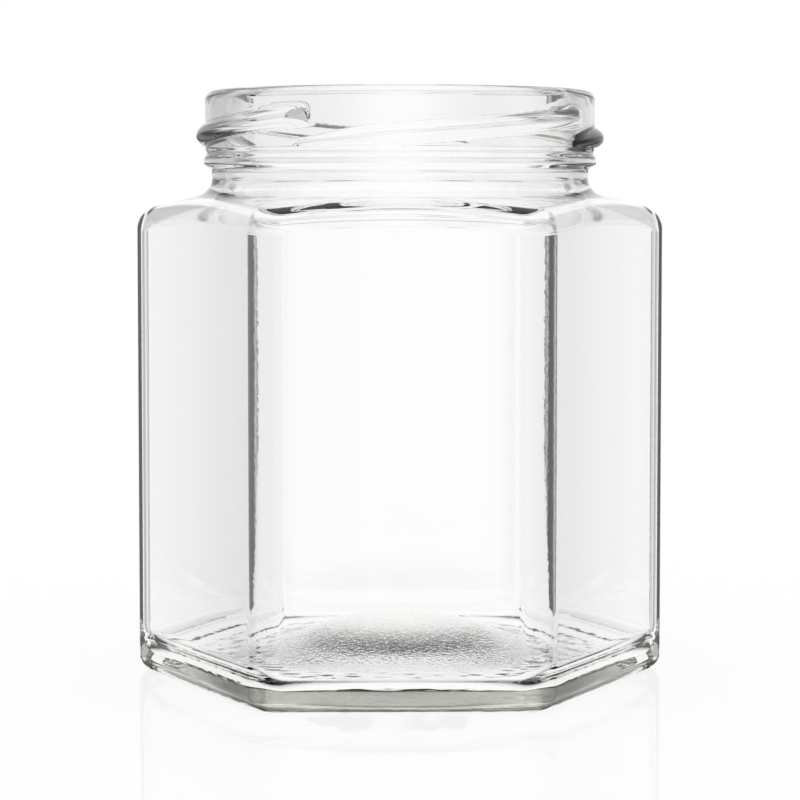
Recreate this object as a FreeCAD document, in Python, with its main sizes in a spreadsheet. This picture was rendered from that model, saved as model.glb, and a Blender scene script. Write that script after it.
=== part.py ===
"""Hexagonal glass jar with a 58 mm four-lug screw neck, as a parametric document.

The jar is one piece of glass.  Two bodies are modelled: the outside, with its
neck, thread lugs and hollowed foot, and the space inside.  Each is a hexagonal
prism with rounded edges, a sloping shoulder and a round neck, so one function
makes both from two sets of sizes.  The jar is the first body less the second.

Frame: millimetres, +Z up, the origin at the middle of the foot.  One flat face
looks along -Y, and two upright edges lie on the X axis.
"""
import FreeCAD, Part
import math
import os
from collections import namedtuple

import Sketcher

SHEET = "Sizes"

# Driving dimensions: alias, value in millimetres unless the note says otherwise, note.
SIZES = [
    ("height", 80.5, "foot to rim"),
    ("across_flats", 64.3, "outside, flat face to flat face"),
    ("outer_corner", 4.7, "radius of the upright edges outside"),
    ("outer_heel", 2.2, "radius where the faces turn under to the foot"),
    ("outer_shoulder", 3.3, "radius where the faces turn in to the shoulder"),
    ("outer_root", 2.4, "radius where the shoulder turns up to the neck"),
    ("neck_length", 13.9, "rim down to where the shoulder meets the neck"),
    ("shoulder_slope", 0.25, "fall of the shoulder for each millimetre outwards"),
    ("finish_diameter", 53.8, "threaded wall"),
    ("finish_wall", 2.7, "thickness of the threaded wall"),
    ("neck_step", 0.9, "depth by which the neck below the bead is smaller than the threaded wall"),
    ("bead_stand", 0.25, "height of the transfer bead over the threaded wall"),
    ("bead_width", 2.6, "transfer bead, along the neck"),
    ("bead_drop", 9.8, "rim down to the bead's crest"),
    ("lip_radius", 1.2, "rounding of the rim"),
    ("side_wall", 1.65, "thickness of the flat faces"),
    ("inner_corner", 4.5, "radius of the upright edges inside"),
    ("inner_heel", 4.0, "radius where the inside turns to the floor"),
    ("inner_shoulder", 3.6, "radius where the inside turns to the shoulder"),
    ("inner_root", 3.2, "radius where the inside turns up the neck"),
    ("shoulder_wall", 2.3, "drop from the outer shoulder to the inner one"),
    ("floor_thickness", 2.4, "glass at the edge of the floor"),
    ("floor_rise", 5.6, "rise of the floor inside, at its middle"),
    ("floor_rim", 0.6, "level floor between the heel inside and the dome"),
    ("push_up", 4.0, "rise of the foot's hollow at its middle"),
    ("foot_ring", 5.4, "width of the foot round its hollow, with the heel"),
    ("lug_count", 4, "thread lugs, a count"),
    ("lug_stand", 1.3, "height of a lug over the threaded wall"),
    ("lug_sweep", 90, "angle that one lug covers, degrees"),
    ("lug_start", -29, "angle of the first lug's tip from the front face, degrees"),
    ("lug_lead", 13.5, "rise of the thread in one turn"),
    ("lug_drop", 7.6, "rim down to the middle of a lug at its tip"),
    ("lug_foot", 3.1, "width of a full lug at its buried foot"),
    ("lug_crest", 1.3, "width of a full lug at its crest"),
    ("lug_bury", 1.0, "depth by which a lug reaches into the wall"),
]

# Sections along one lug, as shares of its sweep, its width and its height over the wall.
LugSection = namedtuple("LugSection", "along width stand")
LUG_SECTIONS = [
    LugSection(0.00, 0.30, 0.05),
    LugSection(0.07, 0.42, 0.35),
    LugSection(0.15, 0.62, 0.70),
    LugSection(0.24, 0.84, 0.92),
    LugSection(0.36, 1.00, 1.00),
    LugSection(0.54, 1.00, 1.00),
    LugSection(0.72, 1.00, 1.00),
    LugSection(0.86, 1.00, 1.00),
    LugSection(0.94, 0.98, 0.95),
    LugSection(0.98, 0.90, 0.65),
    LugSection(1.00, 0.75, 0.15),
]

# Sizes that follow from the driving dimensions.
FINISH_RADIUS = "finish_diameter / 2"
BORE_RADIUS = "( finish_diameter / 2 - finish_wall )"
NECK_RADIUS = "( finish_diameter / 2 - neck_step )"
SHOULDER_HEIGHT = "( height - neck_length )"
BEAD_HEIGHT = "( height - bead_drop )"
HOLLOW_HALF = "( across_flats / 2 - foot_ring )"
FLOOR_HALF = "( across_flats / 2 - side_wall - inner_heel - floor_rim )"

# One hexagonal form with a neck, each size an expression on the sheet.
Form = namedtuple("Form", "half_flats bottom corner heel shoulder root neck shoulder_height top")
OUTSIDE = Form(
    half_flats="across_flats / 2",
    bottom="0",
    corner="outer_corner",
    heel="outer_heel",
    shoulder="outer_shoulder",
    root="outer_root",
    neck=NECK_RADIUS,
    shoulder_height=SHOULDER_HEIGHT,
    top=BEAD_HEIGHT,
)
INSIDE = Form(
    half_flats="across_flats / 2 - side_wall",
    bottom="floor_thickness",
    corner="inner_corner",
    heel="inner_heel",
    shoulder="inner_shoulder",
    root="inner_root",
    neck=BORE_RADIUS,
    shoulder_height=f"( {SHOULDER_HEIGHT} - shoulder_wall + shoulder_slope * ( finish_wall - neck_step ) )",
    top="height + lip_radius",
)

SIDES = 6
TOUCH = 1e-4


def tied(expression):
    """Put the sheet's name before each word of an expression that is a size."""
    aliases = {alias for alias, _, _ in SIZES}
    words = expression.split(" ")
    return " ".join(f"{SHEET}.{word}" if word in aliases else word for word in words)


def number(doc, expression):
    """Work out an expression on the sheet as a plain number."""
    return float(doc.getObject(SHEET).evalExpression(tied(expression)))


def make_sheet(doc):
    """Write the driving dimensions into a spreadsheet, one alias for each."""
    sheet = doc.addObject("Spreadsheet::Sheet", SHEET)
    for row, (alias, value, note) in enumerate(SIZES, start=1):
        sheet.set(f"A{row}", note)
        sheet.set(f"B{row}", str(value))
        sheet.setAlias(f"B{row}", alias)
    doc.recompute()


def own_plane(body, role):
    """Find one of the body's own origin planes or axes by its role."""
    return next(item for item in body.Origin.OriginFeatures if item.Role == role)


def add_sketch(body, name, plane):
    """Add a sketch that lies on one of the body's origin planes."""
    sketch = body.newObject("Sketcher::SketchObject", name)
    sketch.AttachmentSupport = [(own_plane(body, plane), "")]
    sketch.MapMode = "FlatFace"
    return sketch


def tie_point(sketch, line, across, up):
    """Tie the start of a sketch line to the sheet, across and up from the origin."""
    point = sketch.getPoint(line, 1)
    for kind, value, expression in (("DistanceX", point.x, across), ("DistanceY", point.y, up)):
        index = sketch.addConstraint(Sketcher.Constraint(kind, -1, 1, line, 1, value))
        sketch.setExpression(f"Constraints[{index}]", tied(expression))


def draw_outline(sketch, points):
    """Draw a closed outline of straight sides through points given as expressions."""
    doc = sketch.Document
    places = [FreeCAD.Vector(number(doc, across), number(doc, up), 0) for across, up in points]
    count = len(places)
    for k in range(count):
        sketch.addGeometry(Part.LineSegment(places[k], places[(k + 1) % count]))
    for k in range(count):
        sketch.addConstraint(Sketcher.Constraint("Coincident", k, 2, (k + 1) % count, 1))
    for k, (across, up) in enumerate(points):
        tie_point(sketch, k, across, up)


def draw_hexagon(sketch, half_flats):
    """Draw a regular hexagon about the origin, with two corners on the X axis."""
    middle = number(sketch.Document, half_flats)
    reach = middle / math.cos(math.pi / SIDES)
    turns = [2 * math.pi * k / SIDES for k in range(SIDES)]
    corners = [FreeCAD.Vector(reach * math.cos(turn), reach * math.sin(turn), 0) for turn in turns]
    for k in range(SIDES):
        sketch.addGeometry(Part.LineSegment(corners[k], corners[(k + 1) % SIDES]))
    circle = Part.Circle(FreeCAD.Vector(0, 0, 0), FreeCAD.Vector(0, 0, 1), reach)
    ring = sketch.addGeometry(circle, True)
    sketch.addConstraint(Sketcher.Constraint("Coincident", ring, 3, -1, 1))
    for k in range(SIDES):
        sketch.addConstraint(Sketcher.Constraint("Coincident", k, 2, (k + 1) % SIDES, 1))
        sketch.addConstraint(Sketcher.Constraint("PointOnObject", k, 1, ring))
    for k in range(1, SIDES):
        sketch.addConstraint(Sketcher.Constraint("Equal", 0, k))
    sketch.addConstraint(Sketcher.Constraint("PointOnObject", 0, 1, -1))
    width = sketch.addConstraint(Sketcher.Constraint("Distance", -1, 1, 0, middle))
    sketch.setExpression(f"Constraints[{width}]", tied(half_flats))


def turn_profile(body, kind, name, points):
    """Turn an outline in the XZ plane once about Z, to add to the body or to cut it."""
    sketch = add_sketch(body, f"{name}_outline", "XZ_Plane")
    draw_outline(sketch, points)
    feature = body.newObject(f"PartDesign::{kind}", name)
    feature.Profile = sketch
    feature.ReferenceAxis = (sketch, ["V_Axis"])
    feature.Angle = 360.0
    body.Document.recompute()
    return feature


def round_edges(body, name, radius, chosen):
    """Round those edges of the body that a test picks."""
    edges = enumerate(body.Tip.Shape.Edges, start=1)
    names = [f"Edge{index}" for index, edge in edges if chosen(edge)]
    if not names:
        raise RuntimeError(f"{name} finds no edge to round")
    base = body.Tip
    fillet = body.newObject("PartDesign::Fillet", name)
    fillet.Base = (base, names)
    fillet.setExpression("Radius", tied(radius))
    body.Document.recompute()


def upright(edge):
    """Tell whether an edge runs straight along Z."""
    box = edge.BoundBox
    return box.XLength < TOUCH and box.YLength < TOUCH


def circle_about_axis(radius, height):
    """Make a test for a level circle about Z."""
    def chosen(edge):
        box = edge.BoundBox
        at_height = abs(box.ZMin - height) < TOUCH and abs(box.ZMax - height) < TOUCH
        return at_height and abs(box.XMax - radius) < TOUCH and abs(box.YMax - radius) < TOUCH
    return chosen


def outside_radius(radius, low, high):
    """Make a test for edges that lie between two heights and beyond a radius."""
    def chosen(edge):
        box = edge.BoundBox
        middle = edge.valueAt((edge.FirstParameter + edge.LastParameter) / 2)
        beyond = math.hypot(middle.x, middle.y) > radius
        return beyond and box.ZMin > low - TOUCH and box.ZMax < high + TOUCH and not upright(edge)
    return chosen


def make_form(doc, label, form):
    """Make a body of a hexagonal prism with a sloping shoulder and a round neck."""
    body = doc.addObject("PartDesign::Body", label)
    hexagon = add_sketch(body, f"{label}_hexagon", "XY_Plane")
    hexagon.setExpression("AttachmentOffset.Base.z", tied(form.bottom))
    draw_hexagon(hexagon, form.half_flats)
    prism = body.newObject("PartDesign::Pad", f"{label}_prism")
    prism.Profile = hexagon
    prism.setExpression("Length", tied(f"{form.shoulder_height} - ( {form.bottom} )"))
    doc.recompute()
    round_edges(body, f"{label}_corners", form.corner, upright)

    volume = body.Shape.Volume
    far = "across_flats"
    fall = f"{form.shoulder_height} - shoulder_slope * ( {far} - {form.neck} )"
    turn_profile(body, "Groove", f"{label}_slope", [
        (form.neck, form.shoulder_height),
        (far, fall),
        (far, form.shoulder_height),
    ])
    if body.Shape.Volume > volume - 1:
        raise RuntimeError(f"the shoulder of {label} cuts nothing")

    bottom = number(doc, form.bottom)
    neck = number(doc, form.neck)
    height = number(doc, form.shoulder_height)
    round_edges(body, f"{label}_shoulder", form.shoulder, outside_radius(neck + 1, bottom + 1, height))
    round_edges(body, f"{label}_heel", form.heel, outside_radius(neck + 1, bottom, bottom))

    middle = f"( {form.bottom} + {form.shoulder_height} ) / 2"
    turn_profile(body, "Revolution", f"{label}_neck", [
        ("0", middle),
        (form.neck, middle),
        (form.neck, form.top),
        ("0", form.top),
    ])
    round_edges(body, f"{label}_root", form.root, circle_about_axis(neck, height))
    return body


def add_primitive(body, kind, name, height, **sizes):
    """Add a primitive of the body, centred on Z at a height, with its sizes tied."""
    primitive = body.newObject(f"PartDesign::{kind}", name)
    primitive.AttachmentSupport = [(own_plane(body, "XY_Plane"), "")]
    primitive.MapMode = "FlatFace"
    primitive.setExpression("AttachmentOffset.Base.z", tied(height))
    for size, expression in sizes.items():
        primitive.setExpression(size, tied(expression))
    body.Document.recompute()


def add_finish(body):
    """Add the bead and the wall that carries the thread."""
    around = f"{FINISH_RADIUS} + bead_stand - bead_width / 2"
    add_primitive(body, "AdditiveTorus", "bead", BEAD_HEIGHT, Radius1=around, Radius2="bead_width / 2")
    turn_profile(body, "Revolution", "finish", [
        ("0", BEAD_HEIGHT),
        (FINISH_RADIUS, BEAD_HEIGHT),
        (FINISH_RADIUS, "height"),
        ("0", "height"),
    ])


def lug_sketch(body, index, section):
    """Draw one cross-section of a lug, in a plane that holds the axis of the neck."""
    turn = f"lug_start - 90 + lug_sweep * {section.along}"
    middle = f"height - lug_drop + lug_lead * lug_sweep * {section.along} / 360"
    inner = f"{FINISH_RADIUS} - lug_bury"
    outer = f"{FINISH_RADIUS} + lug_stand * {section.stand}"
    foot = f"lug_foot / 2 * {section.width}"
    crest = f"lug_crest / 2 * {section.width}"
    sketch = add_sketch(body, f"lug_section_{index}", "XZ_Plane")
    about_axis = FreeCAD.Rotation(FreeCAD.Vector(0, 1, 0), number(body.Document, turn))
    sketch.AttachmentOffset = FreeCAD.Placement(FreeCAD.Vector(0, 0, 0), about_axis)
    sketch.setExpression("AttachmentOffset.Rotation.Angle", tied(turn))
    draw_outline(sketch, [
        (inner, f"{middle} - {foot}"),
        (outer, f"{middle} - {crest}"),
        (outer, f"{middle} + {crest}"),
        (inner, f"{middle} + {foot}"),
    ])
    return sketch


def add_lugs(body):
    """Add the thread: one lofted lug, repeated round the neck."""
    sketches = [lug_sketch(body, index, section) for index, section in enumerate(LUG_SECTIONS)]
    body.Document.recompute()
    lug = body.newObject("PartDesign::AdditiveLoft", "lug")
    lug.Profile = sketches[0]
    lug.Sections = sketches[1:]
    body.Document.recompute()
    lugs = body.newObject("PartDesign::PolarPattern", "lugs")
    lugs.Originals = [lug]
    lugs.Axis = (own_plane(body, "Z_Axis"), [""])
    lugs.Angle = 360.0
    lugs.setExpression("Occurrences", tied("lug_count"))
    body.Tip = lugs
    body.Document.recompute()


def cut_dome(body, name, half_width, rise, base):
    """Cut a dome that rises in the middle: a cap, and a round of the cap's radius out to the level."""
    radius = f"( {half_width} ^ 2 + {rise} ^ 2 ) / ( 4 * {rise} )"
    cap_edge = f"sqrt( ( {half_width} ^ 2 - {rise} ^ 2 ) / 2 )"
    add_primitive(body, "SubtractiveSphere", name, f"{base} + {rise} - {radius}", Radius=radius)
    edge = circle_about_axis(number(body.Document, cap_edge), number(body.Document, base))
    round_edges(body, f"{name}_run_out", radius, edge)


def make_jar(doc):
    """Make the jar: the outside less the inside, with its rim rounded."""
    jar = make_form(doc, "jar", OUTSIDE)
    add_finish(jar)
    add_lugs(jar)
    cut_dome(jar, "foot_hollow", HOLLOW_HALF, "push_up", "0")
    inside = make_form(doc, "inside", INSIDE)
    cut_dome(inside, "floor_dome", FLOOR_HALF, "floor_rise", "floor_thickness")
    cut = jar.newObject("PartDesign::Boolean", "jar_less_inside")
    cut.setObjects([inside])
    cut.Type = "Cut"
    doc.recompute()
    for side, radius in (("outer", FINISH_RADIUS), ("inner", BORE_RADIUS)):
        edge = circle_about_axis(number(doc, radius), number(doc, "height"))
        round_edges(jar, f"{side}_rim", "lip_radius", edge)
    return jar


def check(doc, parts):
    """Stop if an object of the document failed or a part is not one valid solid."""
    failed = [item.Name for item in doc.Objects if {"Invalid", "Error"} & set(item.State)]
    if failed:
        raise RuntimeError(f"these objects failed: {failed}")
    for part in parts:
        if part.Shape.isNull() or not part.Shape.isValid() or len(part.Shape.Solids) != 1:
            raise RuntimeError(f"{part.Label} is not one valid solid")


def main():
    """Build the document, check it and write each part's STEP file."""
    doc = FreeCAD.newDocument("hexagonal_jar")
    make_sheet(doc)
    parts = [make_jar(doc)]
    doc.recompute()
    check(doc, parts)
    os.makedirs("parts", exist_ok=True)
    for part in parts:
        part.Shape.exportStep(f"parts/{part.Label}.step")
        print(part.Label, "volume", round(part.Shape.Volume / 1000, 2), "cm3")


main()
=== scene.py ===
"""Dress the hexagonal glass jar and set it on a plain white table.

The jar is one piece of clear glass.  Its skin is one closed surface, carried
round the upright axis on a grid: each row is a ring of points, given as a radius
that depends on the angle, and each ring lies at its own height.  The rows run
from the middle of the foot up the outside, over the rim and down the inside to
the middle of the floor.

Sizes of the jar are in millimetres and its mesh is in metres, as the frame is.
Angles run from the middle of the front face towards +X.  The clearance keeps the
glass just inside the solid that it stands for.
"""
import logging
import math
from dataclasses import dataclass, field
from enum import Enum
from typing import Dict, List, Tuple, Union

import bpy
import numpy as np
from mathutils import Euler, Matrix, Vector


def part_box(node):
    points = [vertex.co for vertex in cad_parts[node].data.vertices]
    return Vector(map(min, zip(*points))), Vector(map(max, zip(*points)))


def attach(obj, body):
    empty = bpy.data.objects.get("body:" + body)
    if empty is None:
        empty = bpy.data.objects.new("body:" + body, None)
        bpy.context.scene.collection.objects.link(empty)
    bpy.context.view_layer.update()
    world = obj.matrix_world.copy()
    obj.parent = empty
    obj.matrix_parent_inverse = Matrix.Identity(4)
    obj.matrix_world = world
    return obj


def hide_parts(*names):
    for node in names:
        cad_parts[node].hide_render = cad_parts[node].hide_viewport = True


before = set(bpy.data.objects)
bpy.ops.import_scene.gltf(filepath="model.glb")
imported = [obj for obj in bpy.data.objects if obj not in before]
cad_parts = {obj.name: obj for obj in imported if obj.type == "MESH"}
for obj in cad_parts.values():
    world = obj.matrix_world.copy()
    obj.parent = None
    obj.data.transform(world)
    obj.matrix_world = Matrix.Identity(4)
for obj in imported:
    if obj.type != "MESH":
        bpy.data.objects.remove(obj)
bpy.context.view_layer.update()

log = logging.getLogger("hexagonal_jar")

MM = 0.001
CLEARANCE = 0.01
SIXTH = math.pi / 3.0
WHITE = (1.0, 1.0, 1.0, 1.0)
Value = Union[float, np.ndarray]


def ease(share: Value) -> Value:
    """Return 3s^2 - 2s^3 of a share clipped to 0..1, a step with soft ends."""
    s = np.clip(share, 0.0, 1.0)
    return s * s * (3.0 - 2.0 * s)


def from_corner(angle: np.ndarray) -> np.ndarray:
    """Return how far each angle lies from the nearest corner, in radians."""
    return SIXTH / 2.0 - np.abs((angle + SIXTH / 2.0) % SIXTH - SIXTH / 2.0)


def bell(angle: np.ndarray, width: float, power: int = 2) -> np.ndarray:
    """Return e to the minus (d/w)^p, where d is the angle from the nearest corner in degrees."""
    return np.exp(-(np.degrees(from_corner(angle)) / width) ** power)


def steps(start: float, end: float, count: int) -> np.ndarray:
    """Return count even steps from the start, which is left out, to the end."""
    return np.linspace(start, end, count + 1)[1:]


@dataclass
class Ring:
    """One row of the surface: its points, and how strongly each texture shows on it.

    Angles are in radians, radii and heights in mm.  Grain is the fine unevenness
    of moulded glass, stipple the knurling under the foot, wave the slow unevenness
    of the inside, and streak the fine level lines of the neck.
    """

    angle: np.ndarray
    radius: Value
    height: Value
    grain: Value = 0.0
    stipple: Value = 0.0
    wave: Value = 0.0
    streak: Value = 0.0

    def spread(self, values: Value) -> np.ndarray:
        """Return values with one entry for each point of the ring."""
        return np.broadcast_to(values, self.angle.shape)

    def points(self) -> np.ndarray:
        """Turn the ring's angles and radii into places.

        Returns:
            The points in metres, one row of x, y, z for each.
        """
        radius = self.spread(self.radius)
        across = radius * np.sin(self.angle)
        depth = -radius * np.cos(self.angle)
        return np.stack([across, depth, self.spread(self.height)], axis=-1) * MM


@dataclass
class Hexagon:
    """A hexagon with rounded corners, as a radius that depends on the angle."""

    half_flats: float
    corner: float

    def radius(self, angle: np.ndarray, inset: float = 0.0, corner: float = -1.0) -> np.ndarray:
        """Return the hexagon's radius at each angle.

        On a flat the radius is the half width over the cosine of the angle from
        the flat's middle.  Past the flat's end it is where the ray meets the
        corner's circle.

        Args:
            angle: Angles from the middle of a flat.
            inset: Distance by which every side is moved inwards.
            corner: Radius of the corners, or a negative number for the usual one.

        Returns:
            The radius at each angle.
        """
        half = self.half_flats - inset
        rounding = self.corner if corner < 0.0 else corner
        away = from_corner(angle)
        folded = SIXTH / 2.0 - away
        flat_end = math.atan2((half - rounding) * math.tan(SIXTH / 2.0), half)
        centre = (half - rounding) / math.cos(SIXTH / 2.0)
        inside = np.maximum(rounding ** 2 - (centre * np.sin(away)) ** 2, 0.0)
        arc = centre * np.cos(away) + np.sqrt(inside)
        return np.where(folded <= flat_end, half / np.cos(folded), arc)


@dataclass
class Thread:
    """Four lugs on the neck, each a ridge that rises to the right over a quarter turn."""

    first: float = -29.0
    count: int = 4
    sweep: float = 90.0
    overlap: float = 4.0
    stand: float = 1.25
    tip_height: float = 73.1
    lead: float = 13.5
    half_width: float = 1.35
    hump_power: float = 0.75
    tip_share: float = 0.25
    tip_run: float = 27.0
    end_run: float = 8.0

    def relief(self, angle: np.ndarray, height: float) -> np.ndarray:
        """Return how far the lugs stand out of the wall.

        A lug's cross-section is a rounded hump, 1 - u^2 to a power below one, where u
        is the distance from the lug's middle line over its half width.  The middle
        line climbs in proportion to the angle, and the hump grows from a fine tip
        and ends in a blunt round end.

        Args:
            angle: Angles of the points.
            height: Height of the points, in mm.

        Returns:
            The relief in mm.
        """
        relief = np.zeros(angle.shape)
        for lug in range(self.count):
            start = self.first + self.sweep * lug
            along = (np.degrees(angle) - start + self.sweep / 2.0) % 360.0 - self.sweep / 2.0
            grown = ease((along + self.overlap) / self.tip_run)
            ended = ease((self.sweep + self.overlap - along) / self.end_run)
            middle = self.tip_height + self.lead * along / 360.0
            half = self.half_width * (self.tip_share + (1.0 - self.tip_share) * grown)
            hump = np.clip(1.0 - ((height - middle) / half) ** 2, 0.0, 1.0) ** self.hump_power
            relief = np.maximum(relief, self.stand * grown * ended * hump)
        return relief


class Pattern(Enum):
    """The patterns that textures are made from, as shader nodes."""

    NOISE = "ShaderNodeTexNoise"
    CELLS = "ShaderNodeTexVoronoi"


@dataclass(frozen=True)
class Texture:
    """One texture of the glass: a pattern's scale, its height, and the weight it follows."""

    weight: str
    pattern: Pattern
    scale: float
    stretch: Tuple[float, float, float]
    detail: float
    height: float


@dataclass(frozen=True)
class GlassFinish:
    """Clear flint glass, moulded, with the faint grey-green tint that shows where it is thick."""

    ior: float = 1.52
    roughness: float = 0.0
    tint: Tuple[float, float, float] = (0.82, 0.85, 0.76)
    density: float = 20.0
    textures: Tuple[Texture, ...] = (
        Texture("grain", Pattern.NOISE, 2200.0, (1.0, 1.0, 0.8), 2.0, 0.000003),
        Texture("stipple", Pattern.CELLS, 450.0, (1.0, 1.0, 1.0), 0.0, 0.0004),
        Texture("wave", Pattern.NOISE, 70.0, (1.0, 1.0, 0.35), 1.0, 0.00006),
        Texture("streak", Pattern.NOISE, 700.0, (0.08, 0.08, 1.0), 2.0, 0.00002),
    )

    def relief_group(self) -> bpy.types.NodeTree:
        """Make the node group that adds up the textures.

        Each texture is a pattern over Object coordinates, less its middle value,
        times its height and times the weight that the mesh carries for it.

        Returns:
            The group, whose output is the height in metres.
        """
        group = bpy.data.node_groups.new("moulded_relief", "ShaderNodeTree")
        group.interface.new_socket(name="Height", in_out="OUTPUT", socket_type="NodeSocketFloat")
        nodes = group.nodes
        links = group.links
        place = nodes.new("ShaderNodeTexCoord")
        total = None
        for texture in self.textures:
            stretch = nodes.new("ShaderNodeMapping")
            stretch.inputs["Scale"].default_value = texture.stretch
            links.new(place.outputs["Object"], stretch.inputs["Vector"])
            pattern = nodes.new(texture.pattern.value)
            pattern.inputs["Scale"].default_value = texture.scale
            pattern.inputs["Detail"].default_value = texture.detail
            links.new(stretch.outputs["Vector"], pattern.inputs["Vector"])
            weight = nodes.new("ShaderNodeAttribute")
            weight.attribute_name = texture.weight
            level = nodes.new("ShaderNodeMath")
            level.operation = "MULTIPLY_ADD"
            level.inputs[1].default_value = texture.height
            level.inputs[2].default_value = -0.5 * texture.height
            source = "Fac" if "Fac" in pattern.outputs else "Distance"
            links.new(pattern.outputs[source], level.inputs[0])
            weighted = nodes.new("ShaderNodeMath")
            weighted.operation = "MULTIPLY"
            links.new(level.outputs["Value"], weighted.inputs[0])
            links.new(weight.outputs["Fac"], weighted.inputs[1])
            if total is None:
                total = weighted
                continue
            added = nodes.new("ShaderNodeMath")
            added.operation = "ADD"
            links.new(total.outputs["Value"], added.inputs[0])
            links.new(weighted.outputs["Value"], added.inputs[1])
            total = added
        links.new(total.outputs["Value"], nodes.new("NodeGroupOutput").inputs["Height"])
        return group

    def material(self) -> bpy.types.Material:
        """Make the glass: a transmitting skin round an absorbing volume.

        Returns:
            The material.
        """
        material = bpy.data.materials.new("flint_glass")
        material.use_nodes = True
        nodes = material.node_tree.nodes
        links = material.node_tree.links
        skin = nodes["Principled BSDF"]
        skin.inputs["Base Color"].default_value = WHITE
        skin.inputs["Roughness"].default_value = self.roughness
        skin.inputs["IOR"].default_value = self.ior
        skin.inputs["Transmission Weight"].default_value = 1.0
        relief = nodes.new("ShaderNodeGroup")
        relief.node_tree = self.relief_group()
        bump = nodes.new("ShaderNodeBump")
        bump.inputs["Distance"].default_value = 1.0
        links.new(relief.outputs["Height"], bump.inputs["Height"])
        links.new(bump.outputs["Normal"], skin.inputs["Normal"])
        body = nodes.new("ShaderNodeVolumeAbsorption")
        body.inputs["Color"].default_value = (*self.tint, 1.0)
        body.inputs["Density"].default_value = self.density
        links.new(body.outputs["Volume"], nodes["Material Output"].inputs["Volume"])
        return material


@dataclass(frozen=True)
class Skin:
    """The outer or the inner skin's walls and shoulder, in mm."""

    hexagon: Hexagon
    drop: float
    turn: float
    neck: float
    root: float


@dataclass(frozen=True)
class Rows:
    """How many rings each stretch of the surface has."""

    hollow: int = 20
    foot: int = 4
    heel: int = 10
    wall: int = 7
    turn: int = 12
    cone: int = 10
    root: int = 8
    neck: int = 3
    bead: int = 16
    thread: int = 44
    rim: int = 18
    bore: int = 7
    inner_heel: int = 12
    floor: int = 24


@dataclass(frozen=True)
class Unevenness:
    """How strongly the textures show on the parts of the glass, and where they fade.

    The knurling under the foot starts at a share of the hollow's half width, and
    fades up the heel as a power of the cosine.  Grain at the corners and the wave
    between them follow bells, whose widths are in degrees.
    """

    hollow_grain: float = 20.0
    knurl_grain: float = 1.5
    knurl_start: float = 0.7
    knurl_run: float = 0.2
    heel_grain: float = 1.0
    heel_streak: float = 1.0
    heel_fade: int = 8
    neck_grain: float = 0.3
    bore_wave: float = 0.08
    bore_streak: float = 0.2
    corner_width: float = 4.5
    calm_width: float = 9.0
    calm_power: int = 4
    wave_run: float = 0.125
    floor_grain: float = 7.0
    floor_wave: float = 0.5


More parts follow.
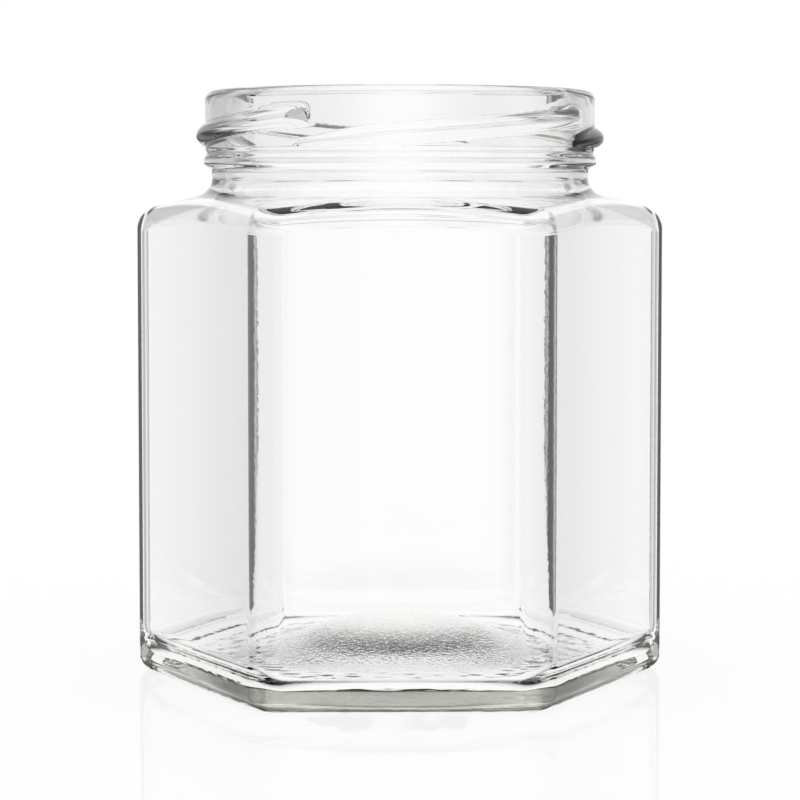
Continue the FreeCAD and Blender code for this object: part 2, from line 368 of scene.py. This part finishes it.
@dataclass
class GlassJar:
    """The jar's glass, as one closed surface worked out ring by ring."""

    half_flats: float
    height: float
    corner: float = 4.7
    outer_turn: float = 3.3
    outer_root: float = 2.4
    heel: float = 2.2
    foot_width: float = 3.2
    hollow_corner: float = 9.0
    push_up: float = 4.0
    side_wall: float = 1.65
    inner_corner: float = 4.45
    inner_drop: float = 1.6
    inner_turn: float = 2.4
    inner_root: float = 3.2
    inner_heel: float = 4.0
    floor: float = 2.4
    floor_rim: float = 0.6
    floor_rise: float = 5.6
    neck_radius: float = 26.0
    shoulder_height: float = 66.6
    slope: float = 0.25
    bead_radius: float = 27.1
    bead_foot: float = 69.5
    bead_rise: float = 1.0
    bead_top: float = 71.1
    bead_notch: float = 0.4
    bead_fall: float = 0.8
    thread_foot: float = 72.0
    thread_rise: float = 0.6
    thread_top: float = 77.4
    finish_radius: float = 26.9
    bore_radius: float = 24.2
    lip: float = 1.35
    columns: int = 420
    fine_angles: int = 14401
    crowding: float = 9.0
    crowd_width: float = 3.6
    rows: Rows = Rows()
    uneven: Unevenness = Unevenness()
    thread: Thread = field(default_factory=Thread)
    finish: GlassFinish = field(default_factory=GlassFinish)

    def __post_init__(self) -> None:
        """Work out the angles of the columns and the two skins."""
        outer = Hexagon(self.half_flats, self.corner)
        inner = Hexagon(self.half_flats - self.side_wall, self.inner_corner)
        self.outer = Skin(outer, 0.0, self.outer_turn, self.neck_radius, self.outer_root)
        self.inner = Skin(inner, self.inner_drop, self.inner_turn, self.bore_radius, self.inner_root)
        self.even = np.arange(self.columns) * 2.0 * math.pi / self.columns
        self.close = self.crowded_angles()
        self.at_corner = bell(self.close, self.uneven.corner_width)
        self.near_corner = bell(self.close, self.uneven.calm_width, self.uneven.calm_power)

    def crowded_angles(self) -> np.ndarray:
        """Work out column angles that crowd at the corners, where the skin bends.

        The angles are the inverse of the running sum of a density that has a
        bell-shaped peak at each corner.

        Returns:
            One angle for each column, in radians.
        """
        fine = np.linspace(0.0, 2.0 * math.pi, self.fine_angles)
        density = 1.0 + self.crowding * bell(fine, self.crowd_width)
        running = np.concatenate([[0.0], np.cumsum((density[1:] + density[:-1]) / 2.0)])
        return np.interp(np.arange(self.columns) / self.columns, running / running[-1], fine)

    def slope_height(self, radius: Value) -> Value:
        """Return the height of the outer shoulder at a radius: a shallow cone."""
        return self.shoulder_height - self.slope * (radius - self.neck_radius)

    def dome(self, radius: np.ndarray, reach: float, rise: float) -> np.ndarray:
        """Return the height of a round dome, which runs out level at its reach.

        The dome's profile is two arcs of one radius, (reach^2 + rise^2) / 4 rise:
        a cap that ends half way out, and a hollow arc that meets the level.

        Args:
            radius: Distances from the axis, in mm.
            reach: Radius at which the dome ends.
            rise: Height of the dome's middle.

        Returns:
            The height at each distance.
        """
        arc = (reach ** 2 + rise ** 2) / (4.0 * rise)
        to_end = np.clip(reach - radius, 0.0, reach / 2.0)
        cap = rise - arc + np.sqrt(arc ** 2 - np.minimum(radius, reach / 2.0) ** 2)
        return np.where(radius < reach / 2.0, cap, arc - np.sqrt(arc ** 2 - to_end ** 2))

    def foot_rings(self) -> List[Ring]:
        """Make the rings from the middle of the foot out to the start of the wall.

        The hollow of the foot is a shallow dome, the ring that the jar stands on
        is flat and knurled, and the heel is a quarter circle.

        Returns:
            The rings, from the middle outwards.
        """
        angle = self.close
        hexagon = self.outer.hexagon
        uneven = self.uneven
        rings = []
        hollow = hexagon.radius(angle, self.heel + self.foot_width, self.hollow_corner)
        reach = self.half_flats - self.heel - self.foot_width
        for share in steps(0.0, 1.0, self.rows.hollow):
            knurled = ease((share - uneven.knurl_start) / uneven.knurl_run)
            height = self.dome(hollow * share, reach, self.push_up)
            grain = uneven.hollow_grain + (uneven.knurl_grain - uneven.hollow_grain) * knurled
            rings.append(Ring(angle, hollow * share, height, grain, stipple=knurled))
        foot_corner = self.corner - self.heel
        for share in steps(0.0, 1.0, self.rows.foot):
            inset = self.heel + self.foot_width * (1.0 - share)
            corner = self.hollow_corner + (foot_corner - self.hollow_corner) * share
            rings.append(Ring(angle, hexagon.radius(angle, inset, corner), 0.0, stipple=1.0))
        for turn in steps(0.0, math.pi / 2.0, self.rows.heel):
            inset = self.heel * (1.0 - math.sin(turn))
            height = self.heel * (1.0 - math.cos(turn))
            radius = hexagon.radius(angle, inset, self.corner - inset)
            knurled = math.cos(turn) ** uneven.heel_fade
            rings.append(Ring(angle, radius, height, uneven.heel_grain, knurled, streak=uneven.heel_streak))
        return rings

    def shoulder_rings(self, skin: Skin) -> Tuple[np.ndarray, List[Ring]]:
        """Make the rings from the end of a wall over the shoulder to the neck.

        The wall turns in by an arc, then follows the sloping cone, and turns up
        the neck by an arc.

        Args:
            skin: The outer or the inner skin.

        Returns:
            The height at which the wall ends at each column, and the rings.
        """
        tilt = math.atan(self.slope)
        angle = self.close
        centre = skin.hexagon.radius(angle) - skin.turn
        wall_end = self.slope_height(centre) - skin.drop - skin.turn / math.cos(tilt)
        rings = []
        for turn in steps(0.0, math.pi / 2.0 - tilt, self.rows.turn):
            radius = centre + skin.turn * math.cos(turn)
            rings.append(Ring(angle, radius, wall_end + skin.turn * math.sin(turn)))
        root_start = skin.neck + skin.root * (1.0 - math.sin(tilt))
        for share in steps(0.0, 1.0, self.rows.cone):
            mixed = angle + (self.even - angle) * ease(share)
            edge = skin.hexagon.radius(mixed) - skin.turn * (1.0 - math.sin(tilt))
            radius = edge + (root_start - edge) * share
            rings.append(Ring(mixed, radius, self.slope_height(radius) - skin.drop))
        root_foot = self.slope_height(skin.neck + skin.root) - skin.drop
        root_height = root_foot + skin.root / math.cos(tilt)
        for turn in steps(math.pi / 2.0 - tilt, 0.0, self.rows.root):
            radius = skin.neck + skin.root * (1.0 - math.cos(turn))
            rings.append(Ring(self.even, radius, root_height - skin.root * math.sin(turn)))
        return wall_end, rings

    def neck_wall(self, height: float) -> float:
        """Work out the neck's outside: the step out to the bead, then the threaded wall.

        Args:
            height: Height on the neck, in mm.

        Returns:
            The radius in mm.
        """
        out = ease((height - self.bead_foot) / self.bead_rise)
        back = ease((height - self.bead_top) / self.bead_fall)
        up = ease((height - self.thread_foot) / self.thread_rise)
        bead = (self.bead_radius - self.neck_radius) * out - self.bead_notch * back
        return self.neck_radius + bead + (self.finish_radius - self.bead_radius + self.bead_notch) * up

    def neck_rings(self, start: float) -> List[Ring]:
        """Make the rings up the outside of the neck, with the thread, and over the round rim.

        Args:
            start: Height at which the shoulder ends, in mm.

        Returns:
            The rings, from the shoulder to the bore.
        """
        heights = np.concatenate([
            steps(start, self.bead_foot, self.rows.neck),
            steps(self.bead_foot, self.thread_foot, self.rows.bead),
            steps(self.thread_foot, self.thread_top, self.rows.thread),
            steps(self.thread_top, self.height - self.lip, self.rows.neck),
        ])
        rings = []
        for height in heights:
            radius = self.neck_wall(height) + self.thread.relief(self.even, height)
            rings.append(Ring(self.even, radius, height, self.uneven.neck_grain))
        middle = (self.finish_radius + self.bore_radius) / 2.0
        half = (self.finish_radius - self.bore_radius) / 2.0
        for turn in steps(0.0, math.pi, self.rows.rim):
            height = self.height - self.lip + self.lip * math.sin(turn)
            rings.append(Ring(self.even, middle + half * math.cos(turn), height))
        return rings

    def inside_rings(self) -> List[Ring]:
        """Make the rings down the bore, the inside walls and the heel, and over the domed floor.

        Returns:
            The rings, from the rim to the middle of the floor.
        """
        end, shoulder = self.shoulder_rings(self.inner)
        hexagon = self.inner.hexagon
        uneven = self.uneven
        rings = []
        for height in steps(self.height - self.lip, shoulder[-1].height, self.rows.bore)[:-1]:
            textures = {"wave": uneven.bore_wave, "streak": uneven.bore_streak}
            rings.append(Ring(self.even, self.bore_radius, height, **textures))
        rings.extend(reversed(shoulder))
        angle = self.close
        low = self.floor + self.inner_heel
        for share in np.linspace(0.0, 1.0, self.rows.wall + 1):
            wave = (1.0 - self.near_corner) * ease(min(share, 1.0 - share) / uneven.wave_run)
            height = end + (low - end) * share
            rings.append(Ring(angle, hexagon.radius(angle), height, self.at_corner, wave=wave))
        for turn in steps(0.0, math.pi / 2.0, self.rows.inner_heel):
            inset = self.inner_heel * (1.0 - math.cos(turn))
            radius = hexagon.radius(angle, inset, self.inner_corner - inset)
            rings.append(Ring(angle, radius, low - self.inner_heel * math.sin(turn)))
        edge = rings[-1].radius
        reach = hexagon.half_flats - self.inner_heel - self.floor_rim
        for share in steps(1.0, 0.0, self.rows.floor)[:-1]:
            height = self.floor + self.dome(edge * share, reach, self.floor_rise)
            rings.append(Ring(angle, edge * share, height, uneven.floor_grain, wave=uneven.floor_wave))
        return rings

    def rings(self) -> List[Ring]:
        """Make every ring of the surface, with the outside wall between heel and shoulder.

        Returns:
            The rings, from the middle of the foot to the middle of the floor.
        """
        end, shoulder = self.shoulder_rings(self.outer)
        wall = []
        for share in steps(0.0, 1.0, self.rows.wall):
            height = self.heel + (end - self.heel) * share
            wall.append(Ring(self.close, self.outer.hexagon.radius(self.close), height, self.at_corner))
        neck = self.neck_rings(shoulder[-1].height)
        return self.foot_rings() + wall + shoulder + neck + self.inside_rings()

    def weights(self, rings: List[Ring]) -> Dict[str, np.ndarray]:
        """Gather each texture's weight, with none at the two poles.

        Args:
            rings: Every ring of the surface.

        Returns:
            For each texture's name, one weight for every point.
        """
        weights = {}
        for texture in self.finish.textures:
            rows = [ring.spread(getattr(ring, texture.weight)) for ring in rings]
            weights[texture.weight] = np.concatenate([*rows, [0.0, 0.0]])
        return weights

    def mesh(self) -> bpy.types.Mesh:
        """Make the closed mesh: quads between neighbouring rings and a fan at each pole.

        Returns:
            The mesh in metres, with the textures' weights on its points.
        """
        rings = self.rings()
        grid = np.stack([ring.points() for ring in rings])
        count, columns = grid.shape[:2]
        poles = [[0.0, 0.0, self.push_up * MM], [0.0, 0.0, (self.floor + self.floor_rise) * MM]]
        points = np.concatenate([grid.reshape(-1, 3), poles])
        here = np.arange(count - 1)[:, None] * columns
        column = np.arange(columns)[None, :]
        beside = (column + 1) % columns
        above = here + columns
        quads = np.stack([here + column, here + beside, above + beside, above + column], axis=-1)
        first = np.arange(columns)
        second = (first + 1) % columns
        foot = np.full(columns, count * columns)
        last = (count - 1) * columns
        faces = quads.reshape(-1, 4).tolist()
        faces += np.stack([foot, second, first], axis=-1).tolist()
        faces += np.stack([foot + 1, last + first, last + second], axis=-1).tolist()
        mesh = bpy.data.meshes.new("jar_glass")
        mesh.from_pydata(points.tolist(), [], faces)
        mesh.update()
        mesh.polygons.foreach_set("use_smooth", np.ones(len(mesh.polygons), dtype=bool))
        for name, values in self.weights(rings).items():
            mesh.attributes.new(name, "FLOAT", "POINT").data.foreach_set("value", values)
        return mesh

    def build(self) -> bpy.types.Object:
        """Make the jar's piece, dress it and set it in the CAD node's place.

        Returns:
            The piece.
        """
        piece = bpy.data.objects.new("jar_glass", self.mesh())
        bpy.context.scene.collection.objects.link(piece)
        piece.data.materials.append(self.finish.material())
        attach(piece, "root")
        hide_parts("jar")
        return piece


class Side(Enum):
    """The side of the jar on which a card stands, as the camera sees it."""

    LEFT = -1.0
    RIGHT = 1.0


@dataclass(frozen=True)
class Stretch:
    """One plain stretch of a card: its near and far ends along the view, and its grey.

    The ends are in metres from the jar's axis, and the grey runs from 0 to 1.
    """

    near: float
    far: float
    grey: float


@dataclass(frozen=True)
class Flags:
    """What stands along a card, low beside the jar's body and high beside its neck."""

    body: Tuple[Stretch, ...]
    neck: Tuple[Stretch, ...]


@dataclass
class Studio:
    """A white table and surroundings, grey cards at the sides, and the camera."""

    eye_distance: float = 0.356
    eye_height: float = 0.0681
    level_line: float = 0.27375
    sensor: float = 36.0
    lens: float = 115.4
    shift: float = -0.08
    orbit: float = 0.6
    clip_near: float = 0.01
    clip_far: float = 50.0
    card_margin: float = 1.06
    card_near: float = -0.34
    card_far: float = 0.9
    card_low: float = -0.0005
    card_high: float = 0.10
    card_columns: int = 80
    blend_low: float = 0.0655
    blend_high: float = 0.0695
    table_reach: float = 4.0
    table_grey: float = 0.14
    table_glow: float = 0.875
    table_gloss: float = 0.08
    mirror_from: float = 0.03
    mirror_full: float = 0.0335
    seen_level: float = 1.0
    soft_level: float = 0.9
    flags: Dict[Side, Flags] = field(default_factory=lambda: {
        Side.LEFT: Flags(
            body=(
                Stretch(-0.34, -0.16, 0.9),    # light beside the camera
                Stretch(-0.09, -0.01, 0.0),    # black flag before the jar
                Stretch(0.014, 0.016, 1.0),    # white slit beside the jar
                Stretch(0.04, 0.06, 0.35),     # grey card just behind it
                Stretch(0.09, 0.14, 0.55),     # its lighter end
                Stretch(0.25, 0.5, 0.2),       # dark flag far behind
                Stretch(0.65, 0.67, 0.7),      # gap that lets light in
                Stretch(0.88, 0.9, 0.2)),      # dark end
            neck=(
                Stretch(-0.34, -0.12, 0.9),
                Stretch(-0.025, -0.01, 0.0),
                Stretch(0.015, 0.09, 0.6),
                Stretch(0.4, 0.9, 0.9))),
        Side.RIGHT: Flags(
            body=(
                Stretch(-0.34, -0.16, 0.95),
                Stretch(-0.05, -0.01, 0.15),
                Stretch(0.014, 0.016, 1.0),
                Stretch(0.04, 0.06, 0.3),
                Stretch(0.12, 0.14, 0.85),
                Stretch(0.25, 0.5, 0.1),
                Stretch(0.65, 0.67, 0.6),
                Stretch(0.88, 0.9, 0.1)),
            neck=(
                Stretch(-0.34, -0.12, 0.9),
                Stretch(-0.025, 0.005, 0.2),
                Stretch(0.03, 0.06, 0.7),
                Stretch(0.25, 0.9, 1.0))),
    })

    def camera(self) -> bpy.types.Object:
        """Make the camera, level with the shoulder and tilted a little down.

        Returns:
            The camera.
        """
        data = bpy.data.cameras.new("camera")
        data.sensor_width = self.sensor
        data.lens = self.lens
        data.shift_y = self.shift
        data.clip_start = self.clip_near
        data.clip_end = self.clip_far
        camera = bpy.data.objects.new("camera", data)
        camera.location = (0.0, -self.eye_distance, self.eye_height)
        tilt = math.atan((self.level_line + self.shift) * self.sensor / self.lens)
        camera.rotation_euler = Euler((math.pi / 2.0 - tilt, 0.0, 0.0))
        bpy.context.scene.collection.objects.link(camera)
        bpy.context.scene.camera = camera
        return camera

    def swing(self, camera: bpy.types.Object) -> None:
        """Carry the camera and its cards round the jar by a small angle, towards the left."""
        turn = Matrix.Rotation(-math.radians(self.orbit), 4, "Z")
        camera.matrix_world = turn @ camera.matrix_world

    def ray_masks(self) -> bpy.types.NodeTree:
        """Make the node group that tells how a surface is seen.

        Seen is 1 for camera, glossy and transmission rays; Through is 1 for the
        last two, which come by way of the glass.

        Returns:
            The group.
        """
        group = bpy.data.node_groups.new("ray_masks", "ShaderNodeTree")
        nodes = group.nodes
        links = group.links
        path = nodes.new("ShaderNodeLightPath")
        result = nodes.new("NodeGroupOutput")
        source = path.outputs["Is Glossy Ray"]
        for name, ray in (("Through", "Is Transmission Ray"), ("Seen", "Is Camera Ray")):
            group.interface.new_socket(name=name, in_out="OUTPUT", socket_type="NodeSocketFloat")
            either = nodes.new("ShaderNodeMath")
            either.operation = "MAXIMUM"
            links.new(source, either.inputs[0])
            links.new(path.outputs[ray], either.inputs[1])
            source = either.outputs["Value"]
            links.new(source, result.inputs[name])
        return group

    def world(self, masks: bpy.types.NodeTree) -> None:
        """Make the surroundings: white where they are seen, plain soft light elsewhere.

        Args:
            masks: The node group that tells how a surface is seen.
        """
        world = bpy.data.worlds.new("studio")
        bpy.context.scene.world = world
        world.use_nodes = True
        nodes = world.node_tree.nodes
        links = world.node_tree.links
        background = nodes["Background"]
        background.inputs["Color"].default_value = WHITE
        mask = nodes.new("ShaderNodeGroup")
        mask.node_tree = masks
        level = nodes.new("ShaderNodeMath")
        level.operation = "MULTIPLY_ADD"
        level.inputs[1].default_value = self.seen_level - self.soft_level
        level.inputs[2].default_value = self.soft_level
        links.new(mask.outputs["Seen"], level.inputs[0])
        links.new(level.outputs["Value"], background.inputs["Strength"])

    def table(self, masks: bpy.types.NodeTree) -> bpy.types.Object:
        """Make the table: a white sheet that keeps the jar's shadow and has a faint gloss.

        Rays that come by way of the glass meet a mirror, from about the edge of the
        jar's foot outwards, so that those bent downwards still find the cards.

        Args:
            masks: The node group that tells how a surface is seen.

        Returns:
            The table.
        """
        reach = self.table_reach
        mesh = bpy.data.meshes.new("table")
        corners = [(-reach, -reach, 0.0), (reach, -reach, 0.0), (reach, reach, 0.0), (-reach, reach, 0.0)]
        mesh.from_pydata(corners, [], [(0, 1, 2, 3)])
        table = bpy.data.objects.new("table", mesh)
        bpy.context.scene.collection.objects.link(table)
        material = bpy.data.materials.new("white_table")
        material.use_nodes = True
        nodes = material.node_tree.nodes
        links = material.node_tree.links
        skin = nodes["Principled BSDF"]
        grey = self.table_grey
        skin.inputs["Base Color"].default_value = (grey, grey, grey, 1.0)
        skin.inputs["Specular IOR Level"].default_value = 0.0
        skin.inputs["Emission Color"].default_value = WHITE
        mask = nodes.new("ShaderNodeGroup")
        mask.node_tree = masks
        level = nodes.new("ShaderNodeMath")
        level.operation = "MULTIPLY"
        level.inputs[1].default_value = self.table_glow
        links.new(mask.outputs["Seen"], level.inputs[0])
        links.new(level.outputs["Value"], skin.inputs["Emission Strength"])
        mirror = nodes.new("ShaderNodeBsdfGlossy")
        mirror.inputs["Roughness"].default_value = 0.0
        mirror.inputs["Color"].default_value = WHITE
        place = nodes.new("ShaderNodeTexCoord")
        away = nodes.new("ShaderNodeVectorMath")
        away.operation = "LENGTH"
        links.new(place.outputs["Object"], away.inputs[0])
        clear = nodes.new("ShaderNodeMapRange")
        clear.inputs["From Min"].default_value = self.mirror_from
        clear.inputs["From Max"].default_value = self.mirror_full
        links.new(away.outputs["Value"], clear.inputs["Value"])
        mirrored = nodes.new("ShaderNodeMath")
        mirrored.operation = "MULTIPLY_ADD"
        mirrored.inputs[2].default_value = self.table_gloss
        links.new(clear.outputs["Result"], mirrored.inputs[0])
        links.new(mask.outputs["Through"], mirrored.inputs[1])
        mix = nodes.new("ShaderNodeMixShader")
        links.new(mirrored.outputs["Value"], mix.inputs["Fac"])
        links.new(skin.outputs["BSDF"], mix.inputs[1])
        links.new(mirror.outputs["BSDF"], mix.inputs[2])
        links.new(mix.outputs["Shader"], nodes["Material Output"].inputs["Surface"])
        mesh.materials.append(material)
        return table

    def grey_ramp(self, nodes: bpy.types.Nodes, stretches: Tuple[Stretch, ...]) -> bpy.types.Node:
        """Return a ramp that holds each stretch's grey and runs evenly from one to the next.

        Args:
            nodes: The material's nodes.
            stretches: The stretches from the near end of the card to its far end.

        Returns:
            The ramp, whose factor is the share of the card's length.
        """
        ramp = nodes.new("ShaderNodeValToRGB")
        stops = ramp.color_ramp.elements
        ends = [(end, stretch.grey) for stretch in stretches for end in (stretch.near, stretch.far)]
        first, last = stops[0], stops[1]
        last.position = 1.0
        first.color = (ends[0][1], ends[0][1], ends[0][1], 1.0)
        last.color = (ends[-1][1], ends[-1][1], ends[-1][1], 1.0)
        for end, grey in ends[1:-1]:
            share = (end - self.card_near) / (self.card_far - self.card_near)
            stops.new(share).color = (grey, grey, grey, 1.0)
        return ramp

    def card_material(self, name: str, flags: Flags) -> bpy.types.Material:
        """Return a card's glow, which follows its length and turns from body to neck flags.

        Args:
            name: The material's name.
            flags: What stands along the card.

        Returns:
            The material.
        """
        material = bpy.data.materials.new(name)
        material.use_nodes = True
        nodes = material.node_tree.nodes
        links = material.node_tree.links
        nodes.remove(nodes["Principled BSDF"])
        place = nodes.new("ShaderNodeTexCoord")
        axes = nodes.new("ShaderNodeSeparateXYZ")
        links.new(place.outputs["Object"], axes.inputs["Vector"])
        shares = {}
        for axis, low, high in (("Y", self.card_near, self.card_far), ("Z", self.blend_low, self.blend_high)):
            share = nodes.new("ShaderNodeMapRange")
            share.inputs["From Min"].default_value = low
            share.inputs["From Max"].default_value = high
            links.new(axes.outputs[axis], share.inputs["Value"])
            shares[axis] = share.outputs["Result"]
        blend = nodes.new("ShaderNodeMixRGB")
        links.new(shares["Z"], blend.inputs["Fac"])
        for socket, stretches in (("Color1", flags.body), ("Color2", flags.neck)):
            ramp = self.grey_ramp(nodes, stretches)
            links.new(shares["Y"], ramp.inputs["Fac"])
            links.new(ramp.outputs["Color"], blend.inputs[socket])
        glow = nodes.new("ShaderNodeEmission")
        links.new(blend.outputs["Color"], glow.inputs["Color"])
        links.new(glow.outputs["Emission"], nodes["Material Output"].inputs["Surface"])
        return material

    def card(self, side: Side, camera: bpy.types.Object) -> bpy.types.Object:
        """Stand a grey card beside the jar along the edge of the view, seen only in the glass.

        Args:
            side: The side of the jar.
            camera: The camera that carries the card, as a studio rig does.

        Returns:
            The card.
        """
        depths = np.linspace(self.card_near, self.card_far, self.card_columns)
        half_view = 0.5 * self.sensor / self.lens
        away = side.value * self.card_margin * half_view * (self.eye_distance + depths)
        rows = [np.stack([away, depths, np.full_like(depths, height)], axis=-1)
                for height in (self.card_low, self.card_high)]
        count = len(depths)
        first = np.arange(count - 1)
        quads = np.stack([first, first + 1, first + count + 1, first + count], axis=-1)
        name = f"card_{side.name.lower()}"
        mesh = bpy.data.meshes.new(name)
        mesh.from_pydata(np.concatenate(rows).tolist(), [], quads.tolist())
        card = bpy.data.objects.new(name, mesh)
        bpy.context.scene.collection.objects.link(card)
        mesh.materials.append(self.card_material(name, self.flags[side]))
        card.visible_camera = False
        card.visible_diffuse = False
        card.visible_shadow = False
        bpy.context.view_layer.update()
        card.parent = camera
        card.matrix_parent_inverse = camera.matrix_world.inverted()
        return card


def main() -> None:
    """Build the jar, then the studio round it."""
    logging.basicConfig(level=logging.INFO, format="%(name)s: %(message)s")
    bpy.context.scene.view_settings.view_transform = "Standard"
    _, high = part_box("jar")
    studio = Studio()
    camera = studio.camera()
    jar = GlassJar(half_flats=high[1] / MM - CLEARANCE, height=high[2] / MM)
    piece = jar.build()
    log.info("%s: %d faces", piece.name, len(piece.data.polygons))
    masks = studio.ray_masks()
    studio.world(masks)
    log.info("table: %s", studio.table(masks).name)
    for side in Side:
        log.info("card: %s", studio.card(side, camera).name)
    studio.swing(camera)


if __name__ == "__main__":
    main()
